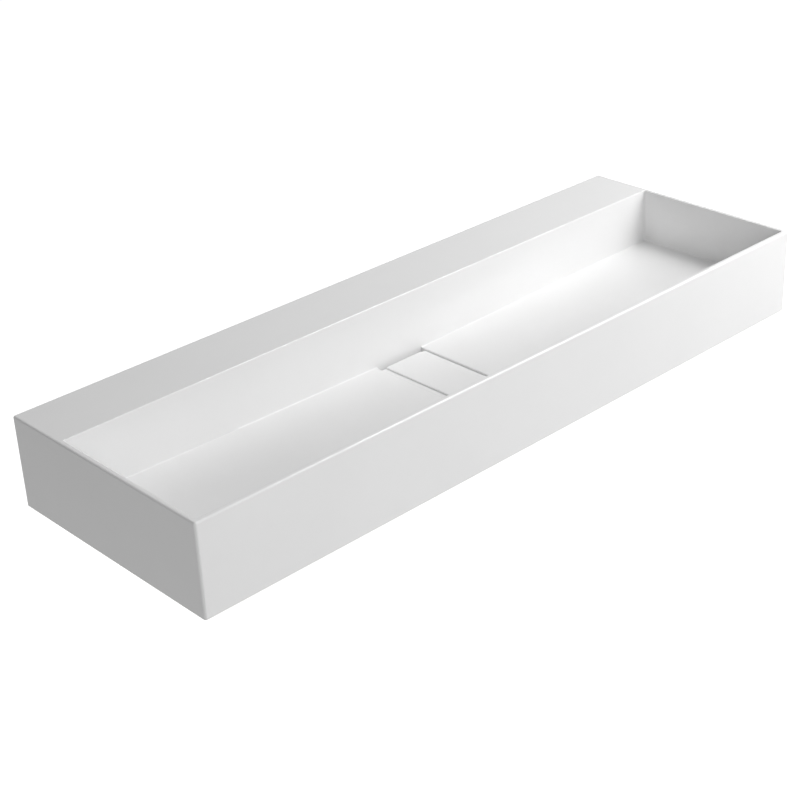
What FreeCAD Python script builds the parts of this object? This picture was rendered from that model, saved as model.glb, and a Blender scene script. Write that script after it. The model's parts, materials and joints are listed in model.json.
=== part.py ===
# Wall-hung washbasin with a full-width back ledge, a wide shallow bowl and a lift-off cover
# plate over its waste. Millimetres. X runs along the basin, +Z is up, and the wall is at +Y.
# The origin is on the back face, midway between the fixing holes, at their height.
import FreeCAD, Part
import math
import os
import re

import Sketcher

SIZES = {
    # basin, outside
    "basin_length": 1200.0,
    "basin_depth": 400.0,
    "basin_height": 140.0,
    "outer_corner": 3.5,
    "rim_round": 3.0,
    "foot_round": 0.6,
    # bowl
    "rim_wall": 8.0,
    "ledge_depth": 110.0,
    "draft_back": 6.0,
    "draft_front": 4.0,
    "draft_end": 2.0,
    "bowl_corner_top": 3.0,
    "bowl_corner_low": 5.0,
    "bowl_rim_round": 1.5,
    "floor_round": 2.0,
    "floor_fall": 8.0,
    # recess and channel under the cover
    "recess_width": 94.0,
    "recess_round": 2.5,
    "shelf_length": 24.0,
    "channel_depth": 22.0,
    "channel_fall": 3.0,
    "channel_corner": 6.0,
    "channel_round": 3.0,
    "drain_land": 36.0,
    "drain_lip_round": 0.8,
    # ceramic thicknesses behind and below
    "foot_clearance": 8.0,
    "floor_thickness": 12.0,
    "channel_wall": 12.0,
    "back_wall": 12.0,
    "bowl_back_wall": 10.0,
    "ledge_thickness": 12.0,
    "web_thickness": 10.0,
    "hollow_corner": 8.0,
    "hollow_round": 5.0,
    "block_round": 4.0,
    # wall fixings
    "fixing_drop": 60.0,
    "fixing_inner_spacing": 280.0,
    "fixing_outer_spacing": 840.0,
    "fixing_hole_radius": 7.0,
    # cover plate and its pads
    "cover_groove": 9.5,
    "cover_side_gap": 0.8,
    "cover_end_gap": 8.0,
    "cover_thickness": 10.0,
    "cover_step_depth": 2.5,
    "cover_step_round": 0.8,
    "cover_corner": 2.0,
    "cover_round": 2.2,
    "cover_foot_round": 0.6,
    "pad_radius": 6.0,
    "pad_stand": 3.0,
    "pad_socket": 1.0,
    "pad_socket_clearance": 0.1,
    "pad_inset_end": 8.5,
    "pad_inset_side": 14.0,
    "pad_round": 0.6,
    "seat_gap": 0.3,
    # waste
    "waste_hole_radius": 22.5,
    "flange_radius": 31.5,
    "flange_thickness": 2.5,
    "flange_round": 0.8,
    "flange_clearance": 0.5,
    "seal_thickness": 1.5,
    "seal_inset": 0.5,
    "shank_radius": 20.95,
    "shank_wall": 3.2,
    "shank_length": 80.0,
    "shank_chamfer": 1.0,
    "shank_clearance": 0.1,
    "relief_drop": 32.0,
    "relief_width": 3.0,
    "relief_depth": 1.5,
    "bridge_drop": 8.0,
    "bridge_width": 7.0,
    "bridge_height": 6.0,
    "bridge_boss_radius": 5.5,
    "bridge_boss_height": 10.0,
    # strainer and its screw
    "strainer_radius": 19.0,
    "strainer_thickness": 2.5,
    "strainer_clearance": 0.15,
    "outer_ring_radius": 14.5,
    "outer_hole_radius": 2.0,
    "inner_ring_radius": 9.0,
    "inner_hole_radius": 1.6,
    "screw_radius": 2.5,
    "screw_clearance": 0.05,
    "screw_head_radius": 4.6,
    "screw_tip_chamfer": 0.6,
    "slot_width": 1.2,
    "slot_depth": 1.1,
    # seal, washer and nut under the basin
    "cone_thickness": 5.0,
    "cone_radius_top": 32.0,
    "cone_radius_low": 28.0,
    "collar_height": 3.0,
    "collar_clearance": 0.3,
    "washer_radius": 29.0,
    "washer_thickness": 2.0,
    "nut_across_flats": 56.0,
    "nut_height": 9.0,
    "nut_chamfer": 1.5,
    # every cut runs past its face by this much
    "overrun": 2.0,
}

COUNTS = {
    "ledge_cells": 3,
    "outer_holes": 12,
    "inner_holes": 8,
    "nut_sides": 6,
}

# Places that several pieces share, each worked out from the sizes above.
PLACES = {
    "half_length": "basin_length / 2",
    "bowl_half": "half_length - rim_wall",
    "bowl_low_half": "bowl_half - draft_end",
    "recess_half": "recess_width / 2",
    "rim_z": "fixing_drop",
    "foot_z": "rim_z - basin_height",
    "under_z": "foot_z + foot_clearance",
    "channel_z": "under_z + channel_wall",
    "channel_end_z": "channel_z + channel_fall",
    "seat_z": "channel_z - flange_thickness - seal_thickness",
    "floor_mid_z": "channel_z + channel_depth",
    "floor_end_z": "floor_mid_z + floor_fall",
    "cover_low_z": "floor_mid_z - cover_thickness",
    "shelf_z": "cover_low_z - pad_stand - seat_gap",
    "bowl_back_y": "-ledge_depth",
    "bowl_front_y": "rim_wall - basin_depth",
    "recess_back_y": "bowl_back_y - draft_back",
    "recess_front_y": "bowl_front_y + draft_front",
    "drain_y": "(recess_back_y + recess_front_y) / 2",
    "channel_half": "(recess_back_y - recess_front_y) / 2 - shelf_length",
    "cover_half_width": "recess_half - cover_side_gap",
    "cover_top_half": "recess_half - cover_groove",
    "cover_half_length": "(recess_back_y - recess_front_y) / 2 - cover_end_gap",
    "cover_step_z": "cover_thickness - cover_step_depth",
    "cell_length": "(2 * bowl_half - (ledge_cells - 1) * web_thickness) / ledge_cells",
    "seat_radius": "flange_radius + flange_clearance",
    "bore_radius": "shank_radius - shank_wall",
    "strainer_seat_radius": "strainer_radius + strainer_clearance",
    "sleeve_radius": "shank_radius + shank_clearance",
    "screw_hole_radius": "screw_radius + screw_clearance",
    "screw_head_height": "screw_head_radius - screw_radius",
    "screw_length": "strainer_thickness + bridge_drop + bridge_boss_height",
    "nut_corner_radius": "nut_across_flats / 2 / cos(180 deg / nut_sides)",
}

# Two edges' places count as the same when they differ by less than this.
TOLERANCE = 0.01

doc = FreeCAD.newDocument("washbasin")


def owned_name(match):
    word = match.group()
    if word in SIZES or word in COUNTS:
        return "Sizes." + word
    if word in PLACES:
        return "Places." + word
    return word


def formula(text):
    # Puts the sheet's or the place list's name before each word that they hold.
    return re.sub("[a-z_]+", owned_name, text)


def bind(item, name, text):
    item.setExpression(name, formula(text))


def make_sheet():
    sheet = doc.addObject("Spreadsheet::Sheet", "Sizes")
    row = 1
    for name, value in list(SIZES.items()) + list(COUNTS.items()):
        sheet.set("A%d" % row, name)
        sheet.set("B%d" % row, str(value))
        sheet.setAlias("B%d" % row, name)
        row += 1
    doc.recompute()


def make_places():
    places = doc.addObject("App::VarSet", "Places")
    for name, text in PLACES.items():
        places.addProperty("App::PropertyFloat", name)
        bind(places, name, text)
    doc.recompute()
    return places


make_sheet()
places = make_places()


def at(name):
    return getattr(places, name)


def new_body(label):
    body = doc.addObject("PartDesign::Body", label)
    body.Label = label
    return body


def plane(body, role):
    return [item for item in body.Origin.OriginFeatures if item.Role == role][0]


def new_sketch(body, name, role, rise=None):
    # rise moves the sketch along its plane's normal.
    sketch = body.newObject("Sketcher::SketchObject", name)
    sketch.AttachmentSupport = [(plane(body, role), "")]
    sketch.MapMode = "FlatFace"
    if rise is not None:
        bind(sketch, "AttachmentOffset.Base.z", rise)
    return sketch


def pin_point(sketch, curve, end, x, y):
    # Holds one end of a curve at a distance from the sketch's two axes.
    for kind, text in (("DistanceX", x), ("DistanceY", y)):
        index = sketch.addConstraint(Sketcher.Constraint(kind, curve, end, 1.0))
        bind(sketch, "Constraints[%d]" % index, text)


def outline(sketch, corners):
    # A closed outline of straight lines through corners given as pairs of formulas.
    count = len(corners)
    rough = [FreeCAD.Vector(i + 1.0, (i * i) % count + 1.0, 0) for i in range(count)]
    first = sketch.GeometryCount
    for i in range(count):
        sketch.addGeometry(Part.LineSegment(rough[i], rough[(i + 1) % count]), False)
    for i in range(count):
        following = first + (i + 1) % count
        sketch.addConstraint(Sketcher.Constraint("Coincident", first + i, 2, following, 1))
        pin_point(sketch, first + i, 1, corners[i][0], corners[i][1])
    return sketch


def circle(sketch, x, y, radius):
    index = sketch.addGeometry(Part.Circle(FreeCAD.Vector(1, 1, 0), FreeCAD.Vector(0, 0, 1), 1.0), False)
    pin_point(sketch, index, 3, x, y)
    size = sketch.addConstraint(Sketcher.Constraint("Radius", index, 1.0))
    bind(sketch, "Constraints[%d]" % size, radius)


def number(name):
    # The value of a size or a place, with or without a minus sign before its name.
    if name.startswith("-"):
        return -number(name[1:])
    return at(name) if name in PLACES else SIZES[name]


def hold_point(sketch, curve, end, x, y):
    # Holds one end of a curve at two named places, which it starts from.
    for kind, name in (("DistanceX", x), ("DistanceY", y)):
        index = sketch.addConstraint(Sketcher.Constraint(kind, curve, end, number(name)))
        bind(sketch, "Constraints[%d]" % index, name)


def rounded_outline(sketch, left, right, low, high, radius):
    # A rectangle with four equal round corners, held by its sides' distances from the axes.
    x0, x1, y0, y1, r = [number(name) for name in (left, right, low, high, radius)]
    corners = [(x1 - r, y0 + r, -90), (x1 - r, y1 - r, 0), (x0 + r, y1 - r, 90), (x0 + r, y0 + r, 180)]
    arcs = []
    for x, y, turn in corners:
        ring = Part.Circle(FreeCAD.Vector(x, y, 0), FreeCAD.Vector(0, 0, 1), r)
        arc = Part.ArcOfCircle(ring, math.radians(turn), math.radians(turn + 90))
        arcs.append(sketch.addGeometry(arc, False))
    sides = []
    for i in range(4):
        begin = sketch.getPoint(arcs[i], 2)
        finish = sketch.getPoint(arcs[(i + 1) % 4], 1)
        sides.append(sketch.addGeometry(Part.LineSegment(begin, finish), False))
    for i in range(4):
        sketch.addConstraint(Sketcher.Constraint("Tangent", arcs[i], 2, sides[i], 1))
        sketch.addConstraint(Sketcher.Constraint("Tangent", sides[i], 2, arcs[(i + 1) % 4], 1))
        sketch.addConstraint(Sketcher.Constraint("Vertical" if i % 2 == 0 else "Horizontal", sides[i]))
    for i in range(1, 4):
        sketch.addConstraint(Sketcher.Constraint("Equal", arcs[0], arcs[i]))
    size = sketch.addConstraint(Sketcher.Constraint("Radius", arcs[0], r))
    bind(sketch, "Constraints[%d]" % size, radius)
    kinds = ("DistanceX", "DistanceY", "DistanceX", "DistanceY")
    for side, kind, text in zip(sides, kinds, (right, high, left, low)):
        index = sketch.addConstraint(Sketcher.Constraint(kind, side, 1, number(text)))
        bind(sketch, "Constraints[%d]" % index, text)
    return sketch


def feature(body, kind, name, sketch, **settings):
    item = body.newObject("PartDesign::" + kind, name)
    item.Profile = sketch
    for setting, value in settings.items():
        setattr(item, setting, value)
    return item


def pad(body, name, sketch, length, reverse=False):
    item = feature(body, "Pad", name, sketch, Type="Length", Reversed=reverse)
    bind(item, "Length", length)
    doc.recompute()
    return item


def pocket(body, name, sketch, length, reverse=False):
    before = body.Shape.Volume
    item = feature(body, "Pocket", name, sketch, Type="Length", Reversed=reverse)
    bind(item, "Length", length)
    doc.recompute()
    check_cut(body, name, before)
    return item


def turned(body, kind, name, sketch):
    # Turns a sketch about its own upright axis, to add or to cut away.
    before = body.Shape.Volume if kind == "Groove" else 0
    item = feature(body, kind, name, sketch, ReferenceAxis=(sketch, ["V_Axis"]), Angle=360.0)
    doc.recompute()
    if kind == "Groove":
        check_cut(body, name, before)
    return item


def check_cut(body, name, before):
    if not body.Shape.Volume < before:
        raise RuntimeError("%s cut nothing" % name)


def mirrored(body, name, original):
    item = body.newObject("PartDesign::Mirrored", name)
    item.Originals = [original]
    item.MirrorPlane = (plane(body, "YZ_Plane"), [""])
    body.Tip = item
    doc.recompute()
    return item


def in_a_row(body, name, original, sketch, spacing, count):
    # Copies of a feature along the sketch's first axis.
    item = body.newObject("PartDesign::LinearPattern", name)
    item.Originals = [original]
    item.Direction = (sketch, ["H_Axis"])
    item.Mode = "Spacing"
    bind(item, "Offset", spacing)
    bind(item, "Occurrences", count)
    body.Tip = item
    doc.recompute()
    return item


def in_a_ring(body, name, original, sketch, count):
    # Copies of a feature round the sketch's normal, through its origin.
    item = body.newObject("PartDesign::PolarPattern", name)
    item.Originals = [original]
    item.Axis = (sketch, ["N_Axis"])
    item.Angle = 360.0
    bind(item, "Occurrences", count)
    body.Tip = item
    doc.recompute()
    return item


def edges(shape, wanted):
    return ["Edge%d" % (i + 1) for i, edge in enumerate(shape.Edges) if wanted(edge)]


def rounded(body, name, base, names, radius, kind="Fillet"):
    if not names:
        raise RuntimeError("%s found no edge" % name)
    item = body.newObject("PartDesign::" + kind, name)
    item.Base = (base, names)
    bind(item, "Radius" if kind == "Fillet" else "Size", radius)
    doc.recompute()
    return item


def flat_at(edge, level):
    # True for an edge that lies in the level plane at that height.
    box = edge.BoundBox
    return abs(box.ZMin - level) < TOLERANCE and abs(box.ZMax - level) < TOLERANCE


def between(edge, low, high):
    # True for an edge that lies between two heights.
    box = edge.BoundBox
    return box.ZMin > low - TOLERANCE and box.ZMax < high + TOLERANCE


def upright(edge):
    box = edge.BoundBox
    return box.ZLength > TOLERANCE and max(box.XLength, box.YLength) < TOLERANCE


def is_circle(edge, radius):
    return edge.Curve.TypeId == "Part::GeomCircle" and abs(edge.Curve.Radius - radius) < TOLERANCE


def on_outside(edge):
    # True for an edge of the basin's outer walls.
    box = edge.BoundBox
    half = at("half_length")
    depth = SIZES["basin_depth"]
    corner = SIZES["outer_corner"]
    ends = box.XMax > half - corner - TOLERANCE or box.XMin < corner - half + TOLERANCE
    faces = box.YMin < corner - depth + TOLERANCE or box.YMax > -corner - TOLERANCE
    return (ends or faces) and not inside_bowl(box)


def inside_bowl(box):
    half = at("bowl_half") + TOLERANCE
    return (max(box.XMax, -box.XMin) < half and box.YMin > at("bowl_front_y") - TOLERANCE
            and box.YMax < at("bowl_back_y") + TOLERANCE)


def make_basin():
    body = new_body("basin_body")
    foot = new_sketch(body, "foot_outline", "XY_Plane", "foot_z")
    outline(foot, [("-half_length", "-basin_depth"), ("half_length", "-basin_depth"),
                   ("half_length", "0"), ("-half_length", "0")])
    block = pad(body, "outer_block", foot, "basin_height")
    rounded(body, "outer_corners", block, edges(block.Shape, upright), "outer_corner")

    cut_bowl(body)
    lay_floor(body)
    cut_channel(body)
    cut_underside(body)
    cut_fixing_holes(body)

    def rim(edge):
        return flat_at(edge, at("rim_z")) and on_outside(edge)

    def mouth(edge):
        return flat_at(edge, at("rim_z")) and inside_bowl(edge.BoundBox)

    def foot_edge(edge):
        return flat_at(edge, at("foot_z")) and on_outside(edge)

    rounded(body, "rim_rounding", body.Tip, edges(body.Shape, rim), "rim_round")
    rounded(body, "bowl_rim_rounding", body.Tip, edges(body.Shape, mouth), "bowl_rim_round")
    rounded(body, "foot_rounding", body.Tip, edges(body.Shape, foot_edge), "foot_round")
    return body


def cut_bowl(body):
    # The corners stay tight from the rim down to the floor.
    top = new_sketch(body, "bowl_mouth", "XY_Plane", "rim_z")
    rounded_outline(top, "-bowl_half", "bowl_half", "bowl_front_y", "bowl_back_y", "bowl_corner_top")
    low = new_sketch(body, "bowl_bottom", "XY_Plane", "shelf_z")
    rounded_outline(low, "-bowl_low_half", "bowl_low_half", "recess_front_y", "recess_back_y",
                    "bowl_corner_low")
    before = body.Shape.Volume
    feature(body, "SubtractiveLoft", "bowl_space", top, Sections=[low], Ruled=True)
    doc.recompute()
    check_cut(body, "bowl_space", before)


def lay_floor(body):
    # Two slabs that fall from the bowl's ends to the recess in the middle.
    profile = new_sketch(body, "floor_profile", "XZ_Plane", "ledge_depth")
    outline(profile, [("recess_half", "shelf_z - overrun"), ("bowl_half", "shelf_z - overrun"),
                      ("bowl_half", "floor_end_z"), ("recess_half", "floor_mid_z")])
    slab = pad(body, "floor_right", profile, "bowl_back_y - bowl_front_y")
    base = mirrored(body, "floor_left", slab)

    def floor_corner(edge):
        # The edges where the slabs meet the bowl's walls.
        box = edge.BoundBox
        above = between(edge, at("floor_mid_z"), at("floor_end_z"))
        beside = box.XLength > TOLERANCE or max(box.XMax, -box.XMin) > at("bowl_low_half")
        return above and beside and inside_bowl(box)

    rounded(body, "floor_rounding", base, edges(base.Shape, floor_corner), "floor_round")
    soften_recess(body)


def soften_recess(body):
    # Takes the sharp edge off both slabs beside the recess, between the rounded feet of the walls.
    profile = new_sketch(body, "recess_edge_profile", "XZ_Plane", "2 * floor_round - recess_back_y")
    x, z, r = number("recess_half"), number("floor_mid_z"), number("recess_round")
    corner = FreeCAD.Vector(x, z, 0)
    far = FreeCAD.Vector(number("bowl_half"), number("floor_end_z"), 0)
    rise = (far.y - corner.y) / (far.x - corner.x) * r
    ring = Part.Circle(FreeCAD.Vector(x + r, z + rise - r, 0), FreeCAD.Vector(0, 0, 1), r)
    arc = profile.addGeometry(Part.ArcOfCircle(ring, math.pi / 2, math.pi), False)
    up = profile.addGeometry(Part.LineSegment(FreeCAD.Vector(x, z + rise - r, 0), corner), False)
    over = profile.addGeometry(Part.LineSegment(corner, FreeCAD.Vector(x + r, z + rise, 0)), False)
    slope = profile.addGeometry(Part.LineSegment(corner, far), True)
    profile.addConstraint(Sketcher.Constraint("Tangent", arc, 2, up, 1))
    profile.addConstraint(Sketcher.Constraint("Coincident", up, 2, over, 1))
    profile.addConstraint(Sketcher.Constraint("Tangent", over, 2, arc, 1))
    profile.addConstraint(Sketcher.Constraint("Vertical", up))
    profile.addConstraint(Sketcher.Constraint("Coincident", slope, 1, over, 1))
    profile.addConstraint(Sketcher.Constraint("Parallel", slope, over))
    hold_point(profile, up, 2, "recess_half", "floor_mid_z")
    hold_point(profile, slope, 2, "bowl_half", "floor_end_z")
    size = profile.addConstraint(Sketcher.Constraint("Radius", arc, r))
    bind(profile, "Constraints[%d]" % size, "recess_round")
    right = pocket(body, "recess_edge_right", profile, "recess_back_y - recess_front_y - 4 * floor_round",
                   reverse=True)
    mirrored(body, "recess_edge_left", right)


def cut_channel(body):
    # The cover stands on a shelf at each end, and the channel between falls to the drain.
    profile = new_sketch(body, "channel_profile", "YZ_Plane", "-recess_half")
    front, back = "drain_y - channel_half", "drain_y + channel_half"
    outline(profile, [(front, "shelf_z + overrun"), (front, "channel_end_z"),
                      ("drain_y - drain_land", "channel_z"), ("drain_y + drain_land", "channel_z"),
                      (back, "channel_end_z"), (back, "shelf_z + overrun")])
    channel = pocket(body, "channel_space", profile, "recess_width", reverse=True)

    def channel_corner(edge):
        box = edge.BoundBox
        across = abs(max(box.XMax, -box.XMin) - at("recess_half")) < TOLERANCE
        along = abs(abs(box.YMin - at("drain_y")) - at("channel_half")) < TOLERANCE
        return upright(edge) and across and along

    rounded(body, "channel_corners", channel, edges(channel.Shape, channel_corner), "channel_corner")

    def channel_foot(edge):
        # The edges round the channel's floor, without the two level lines where its slope begins.
        box = edge.BoundBox
        level = between(edge, at("channel_z"), at("channel_end_z"))
        bend = flat_at(edge, at("channel_z")) and abs(box.XLength - SIZES["recess_width"]) < TOLERANCE
        return level and inside_bowl(box) and not bend

    rounded(body, "channel_rounding", body.Tip, edges(body.Shape, channel_foot), "channel_round")
    cut_drain(body)


def cut_drain(body):
    drain = new_sketch(body, "drain_profile", "XZ_Plane", "-drain_y")
    outline(drain, [("0", "channel_z + overrun"), ("seat_radius", "channel_z + overrun"),
                    ("seat_radius", "seat_z"), ("waste_hole_radius", "seat_z"),
                    ("waste_hole_radius", "under_z - overrun"), ("0", "under_z - overrun")])
    turned(body, "Groove", "drain_hole", drain)

    def lip(edge):
        return flat_at(edge, at("channel_z")) and is_circle(edge, at("seat_radius"))

    rounded(body, "drain_lip_rounding", body.Tip, edges(body.Shape, lip), "drain_lip_round")


def cut_underside(body):
    # Open below: the floor keeps one thickness, with a deeper block round the channel.
    block_half = "recess_half + channel_wall"
    profile = new_sketch(body, "underside_profile", "XZ_Plane", "back_wall")
    outline(profile, [("-bowl_half", "foot_z - overrun"), ("bowl_half", "foot_z - overrun"),
                      ("bowl_half", "floor_end_z - floor_thickness"),
                      (block_half, "floor_mid_z - floor_thickness"), (block_half, "under_z"),
                      ("-(" + block_half + ")", "under_z"),
                      ("-(" + block_half + ")", "floor_mid_z - floor_thickness"),
                      ("-bowl_half", "floor_end_z - floor_thickness")])
    pocket(body, "underside_space", profile, "basin_depth - back_wall - rim_wall", reverse=True)
    cut_ledge_cells(body)
    soften_underside(body)


def cut_ledge_cells(body):
    # The ledge is hollow behind the bowl, with a web between one cell and the next.
    cell = new_sketch(body, "ledge_cell_outline", "XY_Plane", "foot_z - overrun")
    outline(cell, [("-bowl_half", "bowl_back_y + bowl_back_wall"),
                   ("cell_length - bowl_half", "bowl_back_y + bowl_back_wall"),
                   ("cell_length - bowl_half", "-back_wall"), ("-bowl_half", "-back_wall")])
    first = pocket(body, "ledge_cell", cell, "basin_height - ledge_thickness + overrun", reverse=True)
    in_a_row(body, "ledge_cell_row", first, cell, "cell_length + web_thickness", "ledge_cells")


def soften_underside(body):
    front = at("bowl_front_y")
    half = at("bowl_half")

    def along_front(box):
        return abs(box.YMin - front) < TOLERANCE and abs(box.YMax - front) < TOLERANCE

    def hollow_corner(edge):
        box = edge.BoundBox
        in_ledge = box.YMin > at("bowl_back_y") + TOLERANCE and box.YMax < TOLERANCE - SIZES["back_wall"]
        in_front = along_front(box) and box.ZMin < at("foot_z") + TOLERANCE
        inside = max(box.XMax, -box.XMin) < half + TOLERANCE
        return upright(edge) and inside and (in_ledge or in_front)

    rounded(body, "hollow_corners", body.Tip, edges(body.Shape, hollow_corner), "hollow_corner")

    def cell_top(edge):
        return flat_at(edge, at("rim_z") - SIZES["ledge_thickness"])

    rounded(body, "cell_top_rounding", body.Tip, edges(body.Shape, cell_top), "hollow_round")

    def ceiling_edge(edge):
        # The edges where the floor's underside meets the front wall and the end walls.
        box = edge.BoundBox
        drop = SIZES["floor_thickness"]
        level = between(edge, at("floor_mid_z") - drop, at("floor_end_z") - drop)
        at_end = box.XLength < TOLERANCE and abs(max(box.XMax, -box.XMin) - half) < TOLERANCE
        at_front = box.XLength > TOLERANCE and along_front(box)
        return level and (at_end or at_front)

    rounded(body, "ceiling_rounding", body.Tip, edges(body.Shape, ceiling_edge), "hollow_round")

    def block_edge(edge):
        return flat_at(edge, at("under_z")) and edge.BoundBox.XLength < TOLERANCE

    rounded(body, "block_rounding", body.Tip, edges(body.Shape, block_edge), "block_round")


def cut_fixing_holes(body):
    holes = new_sketch(body, "fixing_holes_outline", "XZ_Plane", "-overrun")
    for spacing in ("fixing_inner_spacing", "fixing_outer_spacing"):
        circle(holes, "-" + spacing + " / 2", "0", "fixing_hole_radius")
        circle(holes, spacing + " / 2", "0", "fixing_hole_radius")
    pocket(body, "fixing_holes", holes, "back_wall + 2 * overrun", reverse=True)


def make_cover():
    body = new_body("drain_cover")
    bind(body, "Placement.Base.y", "drain_y")
    bind(body, "Placement.Base.z", "cover_low_z")
    plate = new_sketch(body, "cover_outline", "XY_Plane")
    outline(plate, [("-cover_half_width", "-cover_half_length"), ("cover_half_width", "-cover_half_length"),
                    ("cover_half_width", "cover_half_length"), ("-cover_half_width", "cover_half_length")])
    pad(body, "cover_slab", plate, "cover_thickness")
    step = new_sketch(body, "cover_step_outline", "XY_Plane", "cover_step_z")
    outline(step, [("cover_top_half", "-cover_half_length - overrun"),
                   ("cover_half_width + overrun", "-cover_half_length - overrun"),
                   ("cover_half_width + overrun", "cover_half_length + overrun"),
                   ("cover_top_half", "cover_half_length + overrun")])
    cut = pocket(body, "cover_step_right", step, "cover_step_depth + overrun", reverse=True)
    base = mirrored(body, "cover_step_left", cut)
    base = rounded(body, "cover_corners", base, edges(base.Shape, upright), "cover_corner")

    def top_edge(edge):
        return flat_at(edge, SIZES["cover_thickness"])

    base = rounded(body, "cover_top_rounding", base, edges(base.Shape, top_edge), "cover_round")

    def step_edge(edge):
        # The flange's top edge, without the two inner corners at the foot of the raised part.
        reach = max(edge.BoundBox.XMax, -edge.BoundBox.XMin)
        return flat_at(edge, at("cover_step_z")) and reach > at("cover_half_width") - TOLERANCE

    base = rounded(body, "cover_step_rounding", base, edges(base.Shape, step_edge), "cover_step_round")

    def low_edge(edge):
        return flat_at(edge, 0)

    rounded(body, "cover_foot_rounding", base, edges(base.Shape, low_edge), "cover_foot_round")
    sockets = new_sketch(body, "pad_sockets_outline", "XY_Plane", "-overrun")
    for x, y in pad_places():
        circle(sockets, x, y, "pad_radius + pad_socket_clearance")
    pocket(body, "pad_sockets", sockets, "pad_socket + overrun", reverse=True)
    return body


def pad_places():
    x = "(cover_half_width - pad_inset_side)"
    y = "(cover_half_length - pad_inset_end)"
    return [("-" + x, "-" + y), (x, "-" + y), (x, y), ("-" + x, y)]


def make_cover_pads():
    ends = ("front_left", "front_right", "back_right", "back_left")
    for end, (x, y) in zip(ends, pad_places()):
        label = "cover_pad_" + end
        body = new_body(label)
        bind(body, "Placement.Base.x", x)
        bind(body, "Placement.Base.y", "drain_y + " + y)
        bind(body, "Placement.Base.z", "cover_low_z - pad_stand")
        face = new_sketch(body, label + "_outline", "XY_Plane")
        circle(face, "0", "0", "pad_radius")
        disc = pad(body, label + "_disc", face, "pad_stand + pad_socket")

        def low_edge(edge):
            return flat_at(edge, 0)

        rounded(body, label + "_rounding", disc, edges(disc.Shape, low_edge), "pad_round")


def turned_body(label, corners, z):
    # A ring or sleeve turned about the drain's axis, its profile measured from the height z.
    body = new_body(label)
    bind(body, "Placement.Base.y", "drain_y")
    bind(body, "Placement.Base.z", z)
    profile = new_sketch(body, label + "_profile", "XZ_Plane")
    outline(profile, corners)
    turned(body, "Revolution", label + "_turned", profile)
    return body


def make_flange_seal():
    inner, outer = "sleeve_radius", "flange_radius - seal_inset"
    turned_body("flange_seal", [(inner, "0"), (outer, "0"), (outer, "seal_thickness"),
                                (inner, "seal_thickness")], "seat_z")


def make_waste_body():
    # A brass sleeve with a flange at its mouth and a bridge across its bore for the strainer's screw.
    # A turned relief parts the nut's thread from the free end that the trap screws on to.
    under = "-flange_thickness"
    tip = "(-flange_thickness - shank_length)"
    relief = "(-flange_thickness - relief_drop)"
    core = "shank_radius - relief_depth"
    body = turned_body("waste_body", [
        ("strainer_seat_radius", "0"), ("flange_radius", "0"), ("flange_radius", under),
        ("shank_radius", under), ("shank_radius", relief), (core, relief),
        (core, relief + " - relief_width"), ("shank_radius", relief + " - relief_width"),
        ("shank_radius", tip + " + shank_chamfer"), ("shank_radius - shank_chamfer", tip),
        ("bore_radius", tip), ("bore_radius", "-strainer_thickness"),
        ("strainer_seat_radius", "-strainer_thickness")], "channel_z")

    def flange_edge(edge):
        box = edge.BoundBox
        return flat_at(edge, 0) and box.XMax > SIZES["flange_radius"] - TOLERANCE

    rounded(body, "flange_rounding", body.Tip, edges(body.Tip.Shape, flange_edge), "flange_round")

    top = "-strainer_thickness - bridge_drop"
    bar = new_sketch(body, "bridge_outline", "XY_Plane", top)
    half = "(bore_radius + shank_wall / 2)"
    outline(bar, [("-" + half, "-bridge_width / 2"), (half, "-bridge_width / 2"),
                  (half, "bridge_width / 2"), ("-" + half, "bridge_width / 2")])
    pad(body, "bridge", bar, "bridge_height", reverse=True)
    boss = new_sketch(body, "bridge_boss_outline", "XY_Plane", top)
    circle(boss, "0", "0", "bridge_boss_radius")
    pad(body, "bridge_boss", boss, "bridge_boss_height", reverse=True)
    hole = new_sketch(body, "bridge_hole_outline", "XY_Plane", top + " + overrun")
    circle(hole, "0", "0", "screw_hole_radius")
    pocket(body, "bridge_hole", hole, "bridge_boss_height + 2 * overrun")


def make_strainer():
    body = turned_body("waste_strainer", [
        ("screw_hole_radius", "0"), ("strainer_radius", "0"), ("strainer_radius", "strainer_thickness"),
        ("screw_head_radius + screw_clearance", "strainer_thickness"),
        ("screw_hole_radius", "strainer_thickness - screw_head_height")], "channel_z - strainer_thickness")
    rings = (("outer", "outer_ring_radius", "outer_hole_radius", "outer_holes"),
             ("inner", "inner_ring_radius", "inner_hole_radius", "inner_holes"))
    for name, ring, radius, count in rings:
        sketch = new_sketch(body, name + "_hole_outline", "XY_Plane", "strainer_thickness + overrun")
        circle(sketch, ring, "0", radius)
        hole = pocket(body, name + "_hole", sketch, "strainer_thickness + 2 * overrun")
        in_a_ring(body, name + "_hole_ring", hole, sketch, count)


def make_screw():
    # A countersunk screw, flush with the strainer, with a slot across its head.
    foot = "(strainer_thickness - screw_length)"
    chamfered = "screw_radius - screw_tip_chamfer"
    body = turned_body("strainer_screw", [
        ("0", foot), (chamfered, foot), ("screw_radius", foot + " + screw_tip_chamfer"),
        ("screw_radius", "strainer_thickness - screw_head_height"),
        ("screw_head_radius", "strainer_thickness"), ("0", "strainer_thickness")],
        "channel_z - strainer_thickness")
    slot = new_sketch(body, "slot_outline", "XY_Plane", "strainer_thickness")
    reach = "screw_head_radius + overrun"
    outline(slot, [("-(" + reach + ")", "-slot_width / 2"), (reach, "-slot_width / 2"),
                   (reach, "slot_width / 2"), ("-(" + reach + ")", "slot_width / 2")])
    pocket(body, "screw_slot", slot, "slot_depth")


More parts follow.
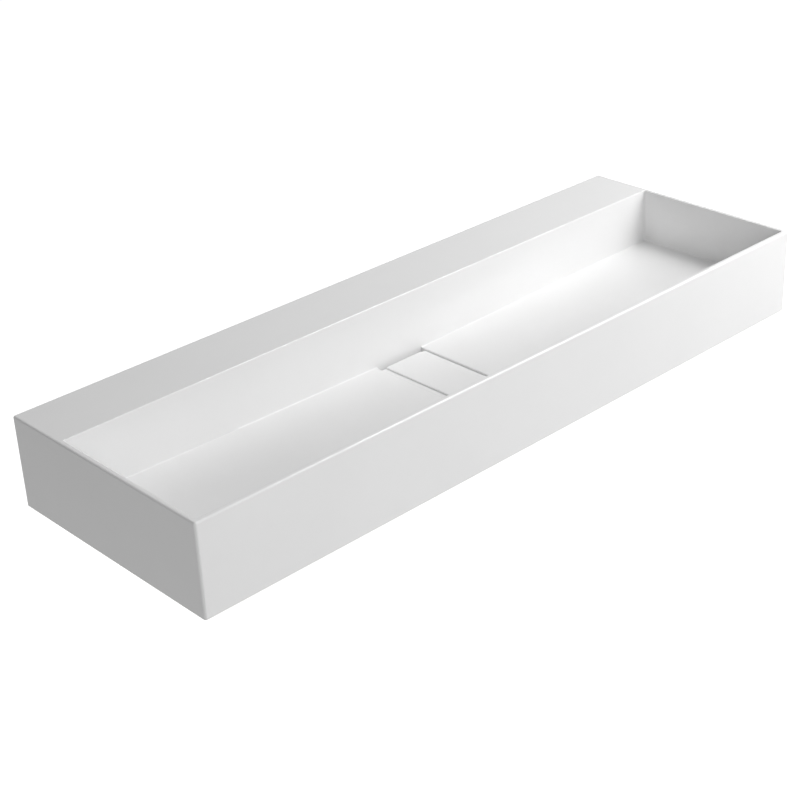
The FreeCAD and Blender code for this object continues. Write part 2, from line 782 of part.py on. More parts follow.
def make_cone_seal():
    # A tapered rubber ring under the basin, with a collar that centres the sleeve in its hole.
    collar = "waste_hole_radius - collar_clearance"
    turned_body("cone_seal", [
        ("sleeve_radius", "-cone_thickness"), ("cone_radius_low", "-cone_thickness"),
        ("cone_radius_top", "0"), (collar, "0"), (collar, "collar_height"),
        ("sleeve_radius", "collar_height")], "under_z")


def make_washer():
    turned_body("slip_washer", [
        ("sleeve_radius", "-washer_thickness"), ("washer_radius", "-washer_thickness"),
        ("washer_radius", "0"), ("sleeve_radius", "0")], "under_z - cone_thickness")


def make_nut():
    # A six-sided nut, its corners taken off by a cone above and below.
    body = new_body("back_nut")
    bind(body, "Placement.Base.y", "drain_y")
    bind(body, "Placement.Base.z", "under_z - cone_thickness - washer_thickness - nut_height")
    flats = new_sketch(body, "nut_outline", "XY_Plane")
    corners = []
    for i in range(COUNTS["nut_sides"]):
        turn = "(%d * 360 deg / nut_sides)" % i
        corners.append(("nut_corner_radius * cos" + turn, "nut_corner_radius * sin" + turn))
    outline(flats, corners)
    pad(body, "nut_block", flats, "nut_height")
    bore = new_sketch(body, "nut_bore_outline", "XY_Plane", "-overrun")
    circle(bore, "0", "0", "sleeve_radius")
    pocket(body, "nut_bore", bore, "nut_height + 2 * overrun", reverse=True)
    reach = "nut_corner_radius + overrun"
    face = "nut_across_flats / 2"
    drop = "(%s - %s) * nut_chamfer / (nut_corner_radius - %s)" % (reach, face, face)
    for name, level, sign in (("upper", "nut_height", "-"), ("lower", "0", "+")):
        cone = new_sketch(body, name + "_cone_profile", "XZ_Plane")
        outline(cone, [(face, level), (reach, level), (reach, level + " " + sign + " " + drop)])
        turned(body, "Groove", name + "_cone", cone)


def check_document():
    # Every object must be up to date, and every piece must be one valid solid.
    for item in doc.Objects:
        if "Invalid" in item.State or "Error" in item.State:
            raise RuntimeError("%s failed: %s" % (item.Name, item.State))
    for body in pieces():
        shape = body.Shape
        if shape.isNull() or not shape.isValid() or len(shape.Solids) != 1:
            raise RuntimeError("%s is not one valid solid" % body.Label)


def pieces():
    return [item for item in doc.Objects if item.TypeId == "PartDesign::Body"]


make_basin()
make_cover()
make_cover_pads()
make_flange_seal()
make_waste_body()
make_strainer()
make_screw()
make_cone_seal()
make_washer()
make_nut()
doc.recompute()
check_document()
os.makedirs("parts", exist_ok=True)
for body in pieces():
    body.Shape.exportStep("parts/%s.step" % body.Label)
    box = body.Shape.BoundBox
    print("%-22s %9.0f mm3  x %.1f..%.1f  y %.1f..%.1f  z %.1f..%.1f" % (
        body.Label, body.Shape.Volume, box.XMin, box.XMax, box.YMin, box.YMax, box.ZMin, box.ZMax))
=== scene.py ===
# Finishes for a long wall-hung ceramic washbasin with a lift-off cover plate and a threaded waste,
# and the plain studio that shows it. Metres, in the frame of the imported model: X runs along the
# basin, +Y goes into the wall and +Z is up.
import json
import math

import bpy
from bpy.props import FloatProperty, FloatVectorProperty, IntProperty, PointerProperty
from bpy.types import Operator, Panel, PropertyGroup
from mathutils import Matrix, Vector


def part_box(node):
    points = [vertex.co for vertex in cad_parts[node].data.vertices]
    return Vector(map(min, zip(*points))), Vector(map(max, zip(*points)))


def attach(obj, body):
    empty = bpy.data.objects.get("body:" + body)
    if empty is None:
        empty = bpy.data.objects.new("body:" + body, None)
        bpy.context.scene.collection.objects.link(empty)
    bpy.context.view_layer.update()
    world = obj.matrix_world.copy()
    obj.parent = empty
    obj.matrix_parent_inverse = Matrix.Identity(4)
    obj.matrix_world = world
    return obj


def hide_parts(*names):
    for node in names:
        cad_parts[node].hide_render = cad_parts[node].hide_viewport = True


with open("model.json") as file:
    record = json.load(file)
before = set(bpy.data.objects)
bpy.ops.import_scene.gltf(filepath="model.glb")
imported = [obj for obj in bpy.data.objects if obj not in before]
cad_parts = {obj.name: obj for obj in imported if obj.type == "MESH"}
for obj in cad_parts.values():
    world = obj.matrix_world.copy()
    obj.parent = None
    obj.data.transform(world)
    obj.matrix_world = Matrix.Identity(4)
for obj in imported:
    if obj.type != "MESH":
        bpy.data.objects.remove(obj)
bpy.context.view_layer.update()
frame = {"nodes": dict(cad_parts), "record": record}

bl_info = {
    "name": "Washbasin",
    "version": (1, 0, 0),
    "blender": (4, 5, 0),
    "location": "3D View > Sidebar > Washbasin",
    "description": "Finishes a washbasin, its cover plate and its waste, and sets up a studio",
    "category": "Object",
}

PADS = ("cover_pad_front_left", "cover_pad_front_right",
        "cover_pad_back_right", "cover_pad_back_left")

# Limits of the open underside and of the ledge's cells, just inside the walls round them.
HOLLOW_HALF_LENGTH = 0.596
HOLLOW_BACK = -0.006
HOLLOW_FRONT = -0.396
CELL_FRONT = -0.105
CELL_TOP = 0.054
# A level inside the floor slabs: its height in the middle, and its rise in each metre outwards.
SLAB_LEVEL = -0.0447
SLAB_RISE = 0.0147
# The block round the drain, which hangs lower than the slabs.
BLOCK_HALF_WIDTH = 0.053
BLOCK_FOOT = -0.066

# Where the glaze thins out at the back face (Y) and at the foot (Z), and how far that line strays.
BACK_LINE = (-0.0007, -0.0001)
BACK_STRAY = 0.0022
FOOT_LINE = (-0.0796, -0.0802)
FOOT_STRAY = -0.0016
STRAYS_PER_METRE = 160.0

GLAZE_IOR = 1.52
# Vertices nearer than this are merged, and faces that turn less than this are joined.
MERGE_DISTANCE = 0.000002
FLAT_ANGLE = math.radians(0.5)
# How far the thread's cutter stands out of the shank.
CUTTER_OUTSIDE = 0.0003
FLOOR_SIZE = 40.0
SENSOR_WIDTH = 36.0
CLIP_END = 100.0


def colour(label, text, red, green, blue):
    return FloatVectorProperty(name=label, description=text, default=(red, green, blue, 1.0),
                               size=4, min=0.0, max=1.0, subtype="COLOR")


def length(label, text, value, digits=5):
    return FloatProperty(name=label, description=text, default=value, min=0.0, precision=digits,
                         unit="LENGTH")


def share(label, text, value):
    return FloatProperty(name=label, description=text, default=value, min=0.0, max=1.0,
                         subtype="FACTOR")


class WashbasinGlaze(PropertyGroup):
    white: colour("Glaze colour", "Colour of the glazed ceramic", 0.86, 0.86, 0.86)
    bare: colour("Bare colour", "Colour of the ground, unglazed ceramic", 0.80, 0.775, 0.73)
    gloss: share("Glaze roughness", "How far the glaze blurs what it mirrors", 0.11)
    dull: share("Bare roughness", "Roughness of the unglazed ceramic", 0.85)
    wave_size: length("Wave size", "Distance from one slow wave in the glaze to the next", 0.09)
    wave_height: length("Wave height", "Height of the slow waves in the glaze", 0.00012)
    grain_size: length("Grain size", "Size of the grains that show where there is no glaze", 0.0009)
    grain_height: length("Grain height", "Height of those grains", 0.00008)


class WashbasinWaste(PropertyGroup):
    thread_pitch: length("Thread pitch", "Rise of the waste's thread in one turn", 0.002309, 6)
    thread_depth: length("Thread depth", "Depth of the thread from its crest to its root", 0.00148)
    thread_flat: length("Thread flat", "Width of the flats at the thread's crest and root", 0.00038)
    thread_neck: length("Plain neck", "Length under the flange that has no thread", 0.004)
    thread_steps: IntProperty(name="Thread steps", default=72, min=12,
                              description="Straight pieces in one turn of the thread")
    edge: length("Broken edge", "Width of the small bevel on machined and moulded edges", 0.00025)
    chrome: colour("Chrome", "Colour of the plated brass", 0.80, 0.80, 0.81)
    steel: colour("Steel", "Colour of the strainer", 0.66, 0.66, 0.65)
    screw: colour("Screw steel", "Colour of the strainer's screw", 0.58, 0.58, 0.58)
    brass: colour("Brass", "Colour of the nut", 0.72, 0.54, 0.26)
    black: colour("Black rubber", "Colour of the tapered seal", 0.028, 0.028, 0.03)
    pale: colour("White rubber", "Colour of the seal under the flange", 0.74, 0.73, 0.71)
    plastic: colour("White plastic", "Colour of the slip washer", 0.80, 0.80, 0.77)
    silicone: colour("Silicone", "Colour of the pads under the cover plate", 0.80, 0.81, 0.80)


class WashbasinStudio(PropertyGroup):
    place: FloatVectorProperty(name="Camera place", description="Where the camera stands",
                               size=3, default=(-1.5569, -1.8175, 1.1055),
                               subtype="TRANSLATION", unit="LENGTH")
    azimuth: FloatProperty(name="Azimuth",
                           description="Direction of the view, from straight ahead",
                           default=math.radians(-42.405), subtype="ANGLE")
    elevation: FloatProperty(name="Elevation", description="How far the camera looks down",
                             default=math.radians(27.825), subtype="ANGLE")
    roll: FloatProperty(name="Roll", description="Turn of the camera about its line of sight",
                        default=math.radians(-2.639), subtype="ANGLE")
    lens: FloatProperty(name="Lens", description="Focal length for a sensor 36 mm wide",
                        default=75.592, min=1.0, subtype="DISTANCE_CAMERA")
    floor_drop: length("Floor drop", "Height of the wall fixings above the floor", 0.80)
    floor: colour("Floor colour", "Colour of the studio floor", 0.88, 0.88, 0.88)
    glow: share("Floor glow", "Light that the camera and mirrors see on top of the floor's",
                0.85)
    fill: share("Fill light", "Strength of the even light from all round", 0.191)


# Lamps of the studio: name, place, point aimed at, width, height and power in watts.
LAMPS = (
    ("key_lamp", (1.56, -1.1, 2.14), (0.0, -0.2, 0.0), 1.6, 1.6, 28.2),
    ("left_lamp", (-1.27, -2.4, 1.18), (0.0, -0.2, 0.0), 1.6, 1.6, 20.8),
    ("side_lamp", (1.1, -1.1, 1.7), (0.4, -0.2, 0.0), 0.7, 0.7, 10.5),
    ("low_lamp", (1.1, -1.1, 0.5), (0.4, -0.2, 0.0), 0.7, 0.7, 5.8),
)


def put(tree, kind, values=None, **settings):
    # Adds a node. A value that is a socket is linked, and any other is set.
    node = tree.nodes.new(kind)
    node.location = (180 * len(tree.nodes), 0)
    for name, value in settings.items():
        setattr(node, name, value)
    for name, value in (values or {}).items():
        if isinstance(value, bpy.types.NodeSocket):
            tree.links.new(value, node.inputs[name])
        else:
            node.inputs[name].default_value = value
    return node


def reckon(tree, operation, *values):
    return put(tree, "ShaderNodeMath", dict(enumerate(values)), operation=operation).outputs[0]


def product(tree, first, *others):
    for other in others:
        first = reckon(tree, "MULTIPLY", first, other)
    return first


def ramp(tree, value, low, high, start=0.0, end=1.0):
    # Runs smoothly from start to end while the value goes from low to high.
    limits = {"Value": value, "From Min": low, "From Max": high, "To Min": start, "To Max": end}
    node = put(tree, "ShaderNodeMapRange", limits, interpolation_type="SMOOTHSTEP")
    return node.outputs["Result"]


def mixed(tree, share_socket, first, second):
    node = put(tree, "ShaderNodeMix", data_type="RGBA")
    for place, value in ((0, share_socket), (6, first), (7, second)):
        if isinstance(value, bpy.types.NodeSocket):
            tree.links.new(value, node.inputs[place])
        else:
            node.inputs[place].default_value = value
    return node.outputs[2]


def noise(tree, vector, scale, detail=2.0, roughness=0.5):
    return put(tree, "ShaderNodeTexNoise", {"Vector": vector, "Scale": scale, "Detail": detail,
                                            "Roughness": roughness}).outputs["Fac"]


def new_group(name, inputs, outputs):
    # A new shader node group with its inputs and outputs.
    group = bpy.data.node_groups.new(name, "ShaderNodeTree")
    for label, kind, value in inputs:
        socket = group.interface.new_socket(name=label, in_out="INPUT",
                                            socket_type="NodeSocket" + kind)
        if value is not None:
            socket.default_value = value
    for label in outputs:
        group.interface.new_socket(name=label, in_out="OUTPUT",
                                   socket_type="NodeSocketFloat")
    return group, group.nodes.new("NodeGroupInput"), group.nodes.new("NodeGroupOutput")


def grain_group():
    # Fine grains as a height, and broad patches as a mask of where they are darker.
    name = "Fine grain"
    if name in bpy.data.node_groups:
        return bpy.data.node_groups[name]
    group, given, result = new_group(name, (("Vector", "Vector", None), ("Scale", "Float", 1000.0)),
                                     ("Height", "Mask"))
    vector, scale = given.outputs["Vector"], given.outputs["Scale"]
    patch_scale = reckon(group, "MULTIPLY", scale, 0.07)
    fine = noise(group, vector, scale, detail=3.0, roughness=0.6)
    broad = noise(group, vector, patch_scale, detail=3.0, roughness=0.55)
    group.links.new(fine, result.inputs["Height"])
    group.links.new(ramp(group, broad, 0.35, 0.7), result.inputs["Mask"])
    return group


def wave_group():
    # The slow waves and the faint ripple of a poured or moulded surface.
    name = "Slow waves"
    if name in bpy.data.node_groups:
        return bpy.data.node_groups[name]
    group, given, result = new_group(name, (("Vector", "Vector", None), ("Scale", "Float", 10.0)),
                                     ("Height", "Mask"))
    vector, scale = given.outputs["Vector"], given.outputs["Scale"]
    ripple_scale, ripple_height = reckon(group, "MULTIPLY", scale, 9.0), 0.06
    smudge_scale = reckon(group, "MULTIPLY", scale, 0.6)
    slow = noise(group, vector, scale, detail=0.0)
    ripple = noise(group, vector, ripple_scale, detail=1.0)
    height = reckon(group, "MULTIPLY_ADD", ripple, ripple_height, slow)
    group.links.new(height, result.inputs["Height"])
    smudge = noise(group, vector, smudge_scale, detail=4.0, roughness=0.6)
    group.links.new(ramp(group, smudge, 0.3, 0.75), result.inputs["Mask"])
    return group


def ring_group():
    # Rings that a lathe's tool leaves round the Z axis, as a height, and stains as a mask.
    name = "Turned rings"
    if name in bpy.data.node_groups:
        return bpy.data.node_groups[name]
    group, given, result = new_group(name, (("Vector", "Vector", None), ("Scale", "Float", 1500.0)),
                                     ("Height", "Mask"))
    parts = put(group, "ShaderNodeSeparateXYZ", {"Vector": given.outputs["Vector"]})
    x, y, z = (parts.outputs[name] for name in "XYZ")
    squares = reckon(group, "ADD", product(group, x, x), product(group, y, y))
    along = reckon(group, "ADD", reckon(group, "SQRT", squares), z)
    track = put(group, "ShaderNodeCombineXYZ", {"X": along}).outputs["Vector"]
    lines = noise(group, track, given.outputs["Scale"], detail=2.0, roughness=0.7)
    group.links.new(lines, result.inputs["Height"])
    stain = noise(group, given.outputs["Vector"], scale=90.0, detail=4.0, roughness=0.6)
    group.links.new(ramp(group, stain, 0.4, 0.75), result.inputs["Mask"])
    return group


def material_base(name):
    material = bpy.data.materials.new(name)
    material.use_nodes = True
    tree = material.node_tree
    shader = tree.nodes["Principled BSDF"]
    where = put(tree, "ShaderNodeTexCoord").outputs["Object"]
    return material, tree, shader, where


def wear(tree, group, vector, scale):
    # Places one of the groups above in a material.
    node = put(tree, "ShaderNodeGroup", node_tree=group)
    tree.links.new(vector, node.inputs["Vector"])
    node.inputs["Scale"].default_value = scale
    return node


def bump(tree, shader, height, distance):
    node = put(tree, "ShaderNodeBump", {"Height": height, "Distance": distance, "Strength": 1.0})
    tree.links.new(node.outputs["Normal"], shader.inputs["Normal"])


def hollow_mask(tree, where):
    # 1 inside the open underside and the ledge's cells, and 0 on all that is seen from above.
    parts = put(tree, "ShaderNodeSeparateXYZ", {"Vector": where})
    x, y, z = (parts.outputs[name] for name in "XYZ")
    away = reckon(tree, "ABSOLUTE", x)
    inside = product(tree, reckon(tree, "LESS_THAN", away, HOLLOW_HALF_LENGTH),
                     reckon(tree, "LESS_THAN", y, HOLLOW_BACK),
                     reckon(tree, "GREATER_THAN", y, HOLLOW_FRONT))
    level = reckon(tree, "MULTIPLY_ADD", away, SLAB_RISE, SLAB_LEVEL)
    slab = reckon(tree, "LESS_THAN", z, level)
    block = product(tree, reckon(tree, "LESS_THAN", away, BLOCK_HALF_WIDTH),
                    reckon(tree, "GREATER_THAN", z, BLOCK_FOOT))
    below = product(tree, slab, reckon(tree, "SUBTRACT", 1.0, block))
    cell = product(tree, reckon(tree, "GREATER_THAN", y, CELL_FRONT),
                   reckon(tree, "LESS_THAN", z, CELL_TOP))
    return product(tree, inside, reckon(tree, "MAXIMUM", below, cell)), y, z


def bare_mask(tree, where, y, z):
    # 1 on the ground back face and foot, with an uneven line where the glaze ends.
    stray = noise(tree, where, STRAYS_PER_METRE, detail=3.0, roughness=0.6)
    back = reckon(tree, "MULTIPLY_ADD", stray, BACK_STRAY, y)
    foot = reckon(tree, "MULTIPLY_ADD", stray, FOOT_STRAY, z)
    return reckon(tree, "MAXIMUM", ramp(tree, back, *BACK_LINE), ramp(tree, foot, *FOOT_LINE))


def tinted(rgba, factor):
    return [min(1.0, value * factor) for value in rgba[:3]] + [1.0]


def glazed_ceramic(glaze):
    # Glaze on all that is seen from above, thin glaze in the hollow, and none on the back and foot.
    material, tree, shader, where = material_base("glazed_ceramic")
    hollow, y, z = hollow_mask(tree, where)
    bare = bare_mask(tree, where, y, z)
    grain = wear(tree, grain_group(), where, 1.0 / glaze.grain_size)
    waves = wear(tree, wave_group(), where, 1.0 / glaze.wave_size)

    patches, smudges = grain.outputs["Mask"], waves.outputs["Mask"]
    bare_tone = mixed(tree, patches, glaze.bare, tinted(glaze.bare, 0.94))
    thin_tone = mixed(tree, smudges, tinted(glaze.white, 0.93), tinted(glaze.bare, 1.08))
    top_tone = mixed(tree, smudges, glaze.white, tinted(glaze.white, 0.985))
    tone = mixed(tree, hollow, top_tone, thin_tone)
    tree.links.new(mixed(tree, bare, tone, bare_tone), shader.inputs["Base Color"])

    gloss = ramp(tree, smudges, 0.0, 1.0, start=glaze.gloss, end=glaze.gloss * 1.25)
    thin = ramp(tree, smudges, 0.0, 1.0, start=0.35, end=0.6)
    rough = reckon(tree, "MULTIPLY_ADD", hollow, reckon(tree, "SUBTRACT", thin, gloss), gloss)
    rough = reckon(tree, "MULTIPLY_ADD", bare, reckon(tree, "SUBTRACT", glaze.dull, rough), rough)
    tree.links.new(rough, shader.inputs["Roughness"])
    shader.inputs["IOR"].default_value = GLAZE_IOR

    # The thin glaze hides half of the grain's height. The height is in metres already.
    shown = reckon(tree, "MAXIMUM", bare, product(tree, hollow, 0.5))
    grains = product(tree, grain.outputs["Height"], shown, glaze.grain_height)
    height = reckon(tree, "MULTIPLY_ADD", waves.outputs["Height"], glaze.wave_height, grains)
    bump(tree, shader, height, distance=1.0)
    return material


def metal(name, rgba, roughness, rings, groove=0.00001, stain=0.9):
    # Turned or plated metal about the waste's axis.
    material, tree, shader, where = material_base(name)
    centred = put(tree, "ShaderNodeMapping", {"Vector": where}, vector_type="POINT")
    centred.inputs["Location"].default_value = tuple(-value for value in waste_axis())
    marks = wear(tree, ring_group(), centred.outputs["Vector"], rings)
    stains = marks.outputs["Mask"]
    tree.links.new(mixed(tree, stains, rgba, tinted(rgba, stain)), shader.inputs["Base Color"])
    rough = ramp(tree, stains, 0.0, 1.0, start=roughness, end=roughness * 1.5)
    tree.links.new(rough, shader.inputs["Roughness"])
    shader.inputs["Metallic"].default_value = 1.0
    bump(tree, shader, marks.outputs["Height"], groove)
    return material


def soft_material(name, rgba, roughness, grain, height, milky=0.0):
    # Rubber, silicone or plastic with a fine moulded grain.
    material, tree, shader, where = material_base(name)
    marks = wear(tree, grain_group(), where, 1.0 / grain)
    patches = marks.outputs["Mask"]
    tree.links.new(mixed(tree, patches, rgba, tinted(rgba, 0.88)), shader.inputs["Base Color"])
    rough = ramp(tree, patches, 0.0, 1.0, start=roughness, end=roughness * 1.25)
    tree.links.new(rough, shader.inputs["Roughness"])
    shader.inputs["Subsurface Weight"].default_value = milky
    shader.inputs["Subsurface Radius"].default_value = (0.002, 0.002, 0.002)
    shader.inputs["Subsurface Scale"].default_value = 1.0
    bump(tree, shader, marks.outputs["Height"], height)
    return material


def waste_axis():
    # A point on the waste's upright axis.
    low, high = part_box("waste_body")
    middle = (low + high) / 2
    return middle.x, middle.y, 0.0


def dress(piece, material):
    piece.data.materials.clear()
    piece.data.materials.append(material)


def only(piece):
    bpy.ops.object.select_all(action="DESELECT")
    piece.select_set(True)
    bpy.context.view_layer.objects.active = piece


def on_whole_mesh(piece, *steps):
    # Runs edit mode operators, each with its settings, on all that the mesh has.
    only(piece)
    bpy.ops.object.mode_set(mode="EDIT")
    for operator, settings in steps:
        bpy.ops.mesh.select_all(action="SELECT")
        operator(**settings)
    bpy.ops.object.mode_set(mode="OBJECT")


def merge_doubles(piece, *steps):
    # Merges the vertices that coincide, and then runs any further steps.
    on_whole_mesh(piece, (bpy.ops.mesh.remove_doubles, {"threshold": MERGE_DISTANCE}), *steps)


def merged_copy(node, label):
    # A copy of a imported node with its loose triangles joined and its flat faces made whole.
    only(frame["nodes"][node])
    bpy.ops.object.duplicate()
    piece = bpy.context.active_object
    piece.name = label
    piece.parent = None
    for key in [key for key in piece.keys() if key.startswith("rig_")]:
        del piece[key]
    bpy.ops.mesh.customdata_custom_splitnormals_clear()
    merge_doubles(piece, (bpy.ops.mesh.dissolve_limited, {"angle_limit": FLAT_ANGLE}))
    return piece


def modify(piece, kind, **settings):
    # Adds a modifier and applies it.
    only(piece)
    modifier = piece.modifiers.new(kind.lower(), kind)
    for name, value in settings.items():
        setattr(modifier, name, value)
    bpy.ops.object.modifier_apply(modifier=modifier.name)


def break_edges(piece, width):
    modify(piece, "BEVEL", width=width, segments=2, limit_method="ANGLE",
           angle_limit=math.radians(35), miter_outer="MITER_ARC", use_clamp_overlap=True)
    merge_doubles(piece)


def smooth(piece):
    only(piece)
    bpy.ops.object.shade_smooth_by_angle(angle=math.radians(30))
    modify(piece, "WEIGHTED_NORMAL", keep_sharp=True)


def settle(piece, node, body, material):
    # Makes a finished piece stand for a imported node.
    dress(piece, material)
    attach(piece, body)
    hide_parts(node)


def softened(node, label, material, width):
    # Makes a copy of one of the waste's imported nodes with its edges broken, which stands for it.
    piece = merged_copy(node, label)
    break_edges(piece, width)
    smooth(piece)
    settle(piece, node, "basin", material)


def thread_cutter(waste, crest, low, high):
    # A helical bar with the section of the groove between two crests of the thread.
    axis = waste_axis()
    flare = (waste.thread_pitch - 2 * waste.thread_flat) / 2 / waste.thread_depth
    wide = (waste.thread_pitch - waste.thread_flat) / 2 + CUTTER_OUTSIDE * flare
    narrow = waste.thread_flat / 2
    bpy.ops.object.select_all(action="DESELECT")
    bpy.ops.mesh.primitive_plane_add(size=1.0, location=(0, 0, 0))
    bar = bpy.context.active_object
    inner, outer = crest - waste.thread_depth, crest + CUTTER_OUTSIDE
    corners = ((inner, -narrow), (outer, -wide), (inner, narrow), (outer, wide))
    for vertex, (x, z) in zip(bar.data.vertices, corners):
        vertex.co = (x, 0.0, z)
    turns = math.ceil((high - low) / waste.thread_pitch)
    modify(bar, "SCREW", angle=2 * math.pi, screw_offset=waste.thread_pitch, iterations=turns,
           steps=waste.thread_steps, render_steps=waste.thread_steps, use_smooth_shade=False)
    # The screw leaves the bar's ends open, and an open cutter leaves a skin over the groove.
    on_whole_mesh(bar, (bpy.ops.mesh.fill_holes, {"sides": 0}),
                  (bpy.ops.mesh.normals_make_consistent, {"inside": False}))
    bar.location = (axis[0], axis[1], high - turns * waste.thread_pitch)
    bpy.ops.object.transform_apply(location=True, rotation=False, scale=False)
    return bar


def cut_thread(piece, waste):
    tail_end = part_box("waste_body")[0].z
    under_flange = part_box("flange_seal")[1].z
    bar = thread_cutter(waste, shank_radius(), tail_end - waste.thread_pitch,
                        under_flange - waste.thread_neck)
    modify(piece, "BOOLEAN", object=bar, operation="DIFFERENCE", solver="EXACT")
    bpy.data.objects.remove(bar)
    merge_doubles(piece)


def shank_radius():
    # The waste's outer radius, from the mount that the trap fits.
    mounts = {mount["name"]: mount for mount in frame["record"]["mounts"]}
    return mounts["waste_outlet"]["dims"]["r_mm"] / 1000


class WASHBASIN_OT_ceramic(Operator):
    """Glazes the basin and its cover plate, and leaves the back and the foot bare"""
    bl_idname = "washbasin.ceramic"
    bl_label = "Basin and cover plate"

    def execute(self, context):
        material = glazed_ceramic(context.scene.washbasin_glaze)
        for node in ("basin_body", "drain_cover"):
            dress(frame["nodes"][node], material)
        return {"FINISHED"}


class WASHBASIN_OT_pads(Operator):
    """Finishes the four silicone pads under the cover plate"""
    bl_idname = "washbasin.pads"
    bl_label = "Cover pads"

    def execute(self, context):
        waste = context.scene.washbasin_waste
        material = soft_material("clear_silicone", waste.silicone, roughness=0.38, grain=0.0006,
                                 height=0.00002, milky=0.4)
        for node in PADS:
            dress(frame["nodes"][node], material)
        return {"FINISHED"}


class WASHBASIN_OT_waste(Operator):
    """Cuts the thread on the waste's tail and plates the waste"""
    bl_idname = "washbasin.waste"
    bl_label = "Threaded waste"

    def execute(self, context):
        waste = context.scene.washbasin_waste
        piece = merged_copy("waste_body", "threaded_waste")
        cut_thread(piece, waste)
        smooth(piece)
        chrome = metal("chromed_brass", waste.chrome, roughness=0.07, rings=900.0,
                       groove=0.000004, stain=0.97)
        settle(piece, "waste_body", "basin", chrome)
        return {"FINISHED"}


class WASHBASIN_OT_strainer(Operator):
    """Finishes the perforated strainer and the screw that holds it"""
    bl_idname = "washbasin.strainer"
    bl_label = "Strainer and screw"

    def execute(self, context):
        waste = context.scene.washbasin_waste
        steel = metal("brushed_steel", waste.steel, roughness=0.24, rings=2600.0)
        softened("waste_strainer", "strainer_plate", steel, waste.edge)
        steel = metal("screw_steel", waste.screw, roughness=0.3, rings=1800.0)
        softened("strainer_screw", "countersunk_screw", steel, waste.edge / 2)
        return {"FINISHED"}


class WASHBASIN_OT_seals(Operator):
    """Finishes the flange seal, the tapered seal and the slip washer"""
    bl_idname = "washbasin.seals"
    bl_label = "Seals and washer"

    def execute(self, context):
        waste = context.scene.washbasin_waste
        rubber = soft_material("white_rubber", waste.pale, roughness=0.6, grain=0.0005,
                               height=0.00003)
        softened("flange_seal", "flange_ring", rubber, waste.edge)
        rubber = soft_material("black_rubber", waste.black, roughness=0.55, grain=0.0005,
                               height=0.00003)
        softened("cone_seal", "tapered_seal", rubber, waste.edge * 2)
        plastic = soft_material("white_plastic", waste.plastic, roughness=0.32, grain=0.0008,
                                height=0.00001, milky=0.15)
        softened("slip_washer", "slip_ring", plastic, waste.edge)
        return {"FINISHED"}


class WASHBASIN_OT_nut(Operator):
    """Finishes the nut that clamps the waste"""
    bl_idname = "washbasin.nut"
    bl_label = "Back nut"

    def execute(self, context):
        waste = context.scene.washbasin_waste
        brass = metal("plain_brass", waste.brass, roughness=0.2, rings=1300.0, groove=0.00002,
                      stain=0.8)
        softened("back_nut", "clamping_nut", brass, waste.edge)
        return {"FINISHED"}


def view_matrix(place, azimuth, elevation, roll):
    # The camera's place and turn, from the direction in which it stands off the object.
    level = math.cos(elevation)
    back = Vector((math.sin(azimuth) * level, -math.cos(azimuth) * level, math.sin(elevation)))
    right = Vector((0, 0, 1)).cross(back).normalized()
    up = back.cross(right)
    right, up = (right * math.cos(roll) + up * math.sin(roll),
                 up * math.cos(roll) - right * math.sin(roll))
    matrix = Matrix((right, up, back)).transposed().to_4x4()
    matrix.translation = place
    return matrix


def sees_backdrop(tree, path):
    # 1 for the rays that show the backdrop: the camera's, and those that metal and glass send on.
    return reckon(tree, "MAXIMUM", path.outputs["Is Camera Ray"],
                  reckon(tree, "MAXIMUM", path.outputs["Is Glossy Ray"],
                         path.outputs["Is Transmission Ray"]))


def floor_material(rgba, glow):
    # Pale and matt. The camera sees it lighter than it is lit, and sees through it from below.
    material, tree, shader, where = material_base("studio_floor")
    mottle = noise(tree, where, scale=3.0, detail=3.0)
    tree.links.new(mixed(tree, mottle, rgba, tinted(rgba, 0.99)), shader.inputs["Base Color"])
    shader.inputs["Roughness"].default_value = 0.9
    shader.inputs["Specular IOR Level"].default_value = 0.0
    path = put(tree, "ShaderNodeLightPath")
    strength = product(tree, sees_backdrop(tree, path), glow)
    glowing = put(tree, "ShaderNodeEmission", {"Color": (1, 1, 1, 1), "Strength": strength})
    lit = put(tree, "ShaderNodeAddShader", {0: shader.outputs[0], 1: glowing.outputs[0]})
    clear = put(tree, "ShaderNodeBsdfTransparent")
    behind = product(tree, put(tree, "ShaderNodeNewGeometry").outputs["Backfacing"],
                     path.outputs["Is Camera Ray"])
    both = put(tree, "ShaderNodeMixShader", {"Fac": behind, 1: lit.outputs[0], 2: clear.outputs[0]})
    tree.links.new(both.outputs[0], tree.nodes["Material Output"].inputs["Surface"])
    return material


def light_world(strength):
    # Even light of the given strength on the object, and full white behind it.
    world = bpy.data.worlds.new("studio_world")
    bpy.context.scene.world = world
    world.use_nodes = True
    tree = world.node_tree
    sky = tree.nodes["Background"]
    seen = sees_backdrop(tree, put(tree, "ShaderNodeLightPath"))
    level = reckon(tree, "MULTIPLY_ADD", seen, 1.0 - strength, strength)
    tree.links.new(level, sky.inputs["Strength"])
    sky.inputs["Color"].default_value = (1, 1, 1, 1)


def hang_lamp(name, place, aim, width, height, power):
    bpy.ops.object.light_add(type="AREA", location=place)
    lamp = bpy.context.active_object
    lamp.name = name
    lamp.data.shape = "RECTANGLE"
    lamp.data.size = width
    lamp.data.size_y = height
    lamp.data.energy = power
    lamp.rotation_euler = (Vector(aim) - Vector(place)).to_track_quat("-Z", "Y").to_euler()


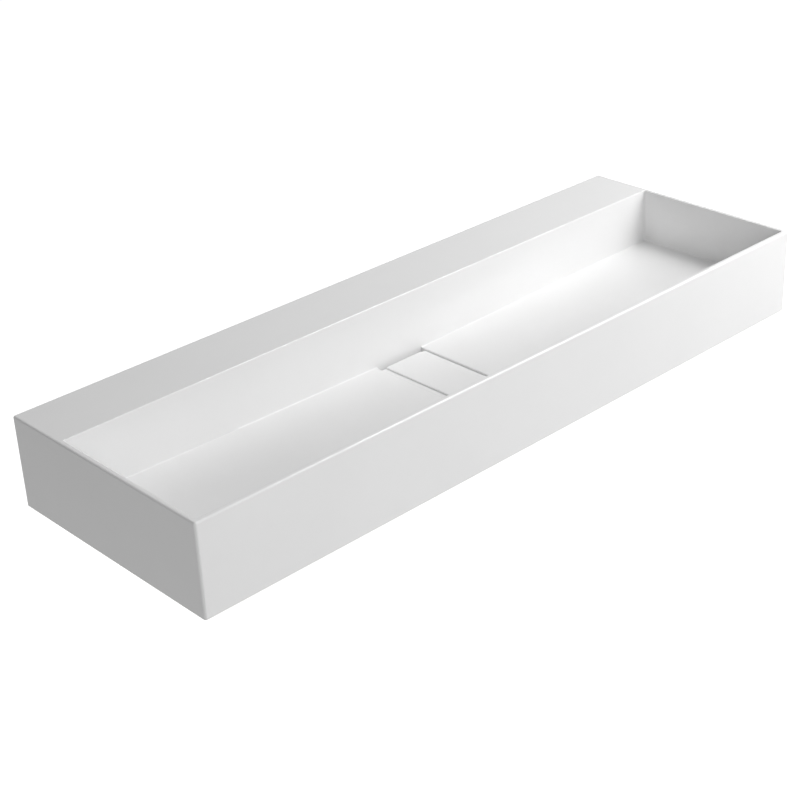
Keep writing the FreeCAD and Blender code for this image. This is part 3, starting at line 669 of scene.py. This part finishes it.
class WASHBASIN_OT_stage(Operator):
    """Sets up the floor, the soft light and the camera"""
    bl_idname = "washbasin.stage"
    bl_label = "Studio"

    def execute(self, context):
        studio = context.scene.washbasin_studio
        bpy.ops.object.select_all(action="DESELECT")
        bpy.ops.mesh.primitive_plane_add(size=FLOOR_SIZE, location=(0, 0, -studio.floor_drop))
        floor = context.active_object
        floor.name = "studio_floor"
        dress(floor, floor_material(studio.floor, studio.glow))
        light_world(studio.fill)
        for lamp in LAMPS:
            hang_lamp(*lamp)
        bpy.ops.object.camera_add()
        camera = context.active_object
        camera.matrix_world = view_matrix(studio.place, studio.azimuth, studio.elevation,
                                          studio.roll)
        camera.data.sensor_width = SENSOR_WIDTH
        camera.data.lens = studio.lens
        camera.data.clip_end = CLIP_END
        context.scene.camera = camera
        context.scene.view_settings.view_transform = "Standard"
        return {"FINISHED"}


STEPS = (WASHBASIN_OT_stage, WASHBASIN_OT_ceramic, WASHBASIN_OT_pads, WASHBASIN_OT_waste,
         WASHBASIN_OT_strainer, WASHBASIN_OT_seals, WASHBASIN_OT_nut)


class WASHBASIN_PT_panel(Panel):
    """Lists the steps that finish the washbasin"""
    bl_idname = "WASHBASIN_PT_panel"
    bl_label = "Washbasin"
    bl_space_type = "VIEW_3D"
    bl_region_type = "UI"
    bl_category = "Washbasin"

    def draw(self, context):
        for step in STEPS:
            self.layout.operator(step.bl_idname)
        for settings in (context.scene.washbasin_glaze, context.scene.washbasin_waste,
                         context.scene.washbasin_studio):
            box = self.layout.box()
            for name in settings.__annotations__:
                box.prop(settings, name)


GROUPS = (WashbasinGlaze, WashbasinWaste, WashbasinStudio)


def register():
    for item in GROUPS + STEPS + (WASHBASIN_PT_panel,):
        bpy.utils.register_class(item)
    bpy.types.Scene.washbasin_glaze = PointerProperty(type=WashbasinGlaze)
    bpy.types.Scene.washbasin_waste = PointerProperty(type=WashbasinWaste)
    bpy.types.Scene.washbasin_studio = PointerProperty(type=WashbasinStudio)


def unregister():
    del bpy.types.Scene.washbasin_studio
    del bpy.types.Scene.washbasin_waste
    del bpy.types.Scene.washbasin_glaze
    for item in reversed(GROUPS + STEPS + (WASHBASIN_PT_panel,)):
        bpy.utils.unregister_class(item)


def main():
    register()
    bpy.ops.washbasin.stage()
    bpy.ops.washbasin.ceramic()
    bpy.ops.washbasin.pads()
    bpy.ops.washbasin.waste()
    bpy.ops.washbasin.strainer()
    bpy.ops.washbasin.seals()
    bpy.ops.washbasin.nut()


if __name__ == "__main__":
    main()
